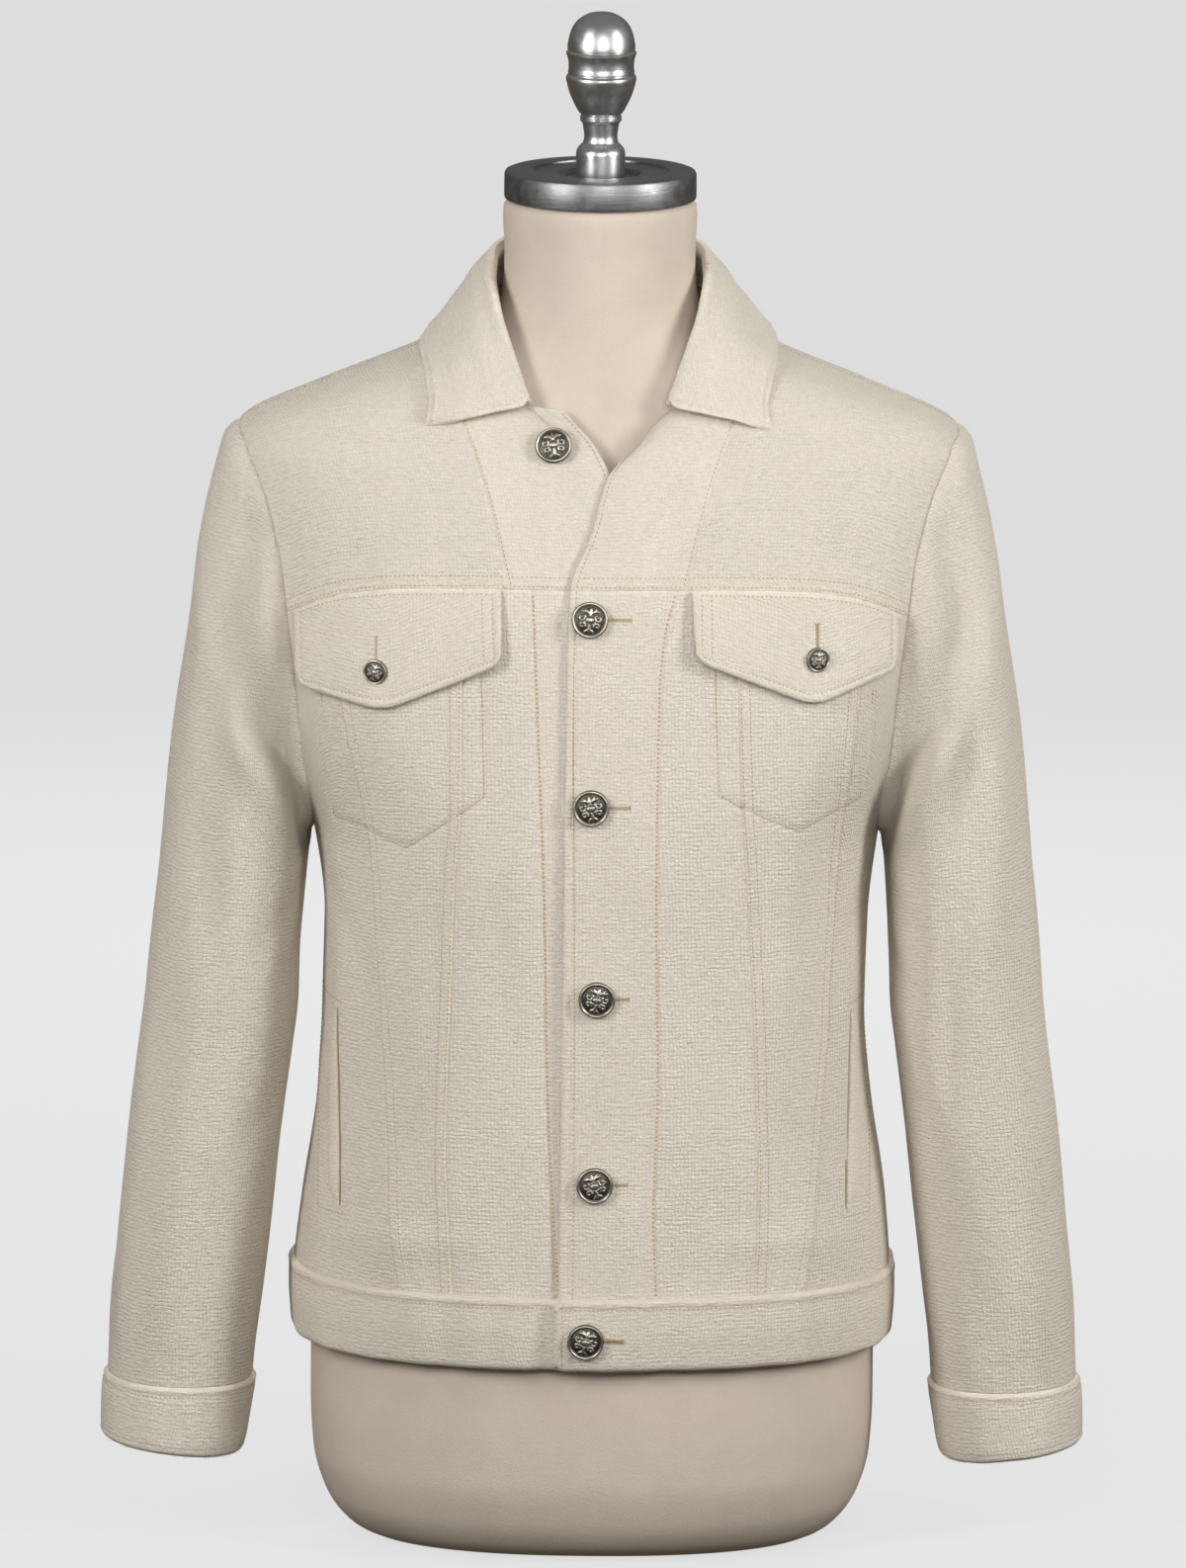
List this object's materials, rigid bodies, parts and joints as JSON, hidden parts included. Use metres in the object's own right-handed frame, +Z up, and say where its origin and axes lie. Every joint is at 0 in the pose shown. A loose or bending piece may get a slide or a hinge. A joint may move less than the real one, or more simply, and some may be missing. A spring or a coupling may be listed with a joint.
{
  "type": "trucker-cut jacket on a limbless tailor's dress form",
  "caption": "Cream waffle-cloth trucker jacket with shirt collar, pointed chest flaps and metal buttons, worn on a limbless dress form with a metal neck cap and turned finial.",
  "frame": {"origin": "centre of the dress form's flat underside", "axes": "+X to the wearer's left, +Y to the wearer's back, +Z up; the front of the jacket faces -Y"},
  "size_m": [0.6248, 0.2644, 0.9752],
  "materials": {
    "waffle_cloth": "matte brushed silk and wool waffle weave with a short nap",
    "button_metal": "antique silver, darkened in the recesses",
    "form_canvas": "smooth off-white canvas",
    "cap_metal": "brushed",
    "finial_metal": "polished turned aluminium"
  },
  "bodies": {
    "root": {"front_band_left": "waffle_cloth", "front_inner_panel_left": "waffle_cloth", "front_middle_panel_left": "waffle_cloth", "front_side_panel_left": "waffle_cloth", "front_yoke_left": "waffle_cloth", "upper_front_band_left": "waffle_cloth", "front_band_right": "waffle_cloth", "front_inner_panel_right": "waffle_cloth", "front_middle_panel_right": "waffle_cloth", "front_side_panel_right": "waffle_cloth", "front_yoke_right": "waffle_cloth", "upper_front_band_right": "waffle_cloth", "back_panel": "waffle_cloth", "back_yoke": "waffle_cloth", "waistband": "waffle_cloth", "collar": "waffle_cloth", "top_sleeve_left": "waffle_cloth", "under_sleeve_left": "waffle_cloth", "cuff_left": "waffle_cloth", "chest_flap_left": "waffle_cloth", "pocket_welt_left": "waffle_cloth", "top_sleeve_right": "waffle_cloth", "under_sleeve_right": "waffle_cloth", "cuff_right": "waffle_cloth", "chest_flap_right": "waffle_cloth", "pocket_welt_right": "waffle_cloth", "front_button_1": "button_metal", "front_button_2": "button_metal", "front_button_3": "button_metal", "front_button_4": "button_metal", "front_button_5": "button_metal", "waistband_button": "button_metal", "flap_button_left": "button_metal", "flap_button_right": "button_metal", "dress_form": "form_canvas", "neck_cap": "cap_metal", "finial": "finial_metal"}
  },
  "joints": []
}
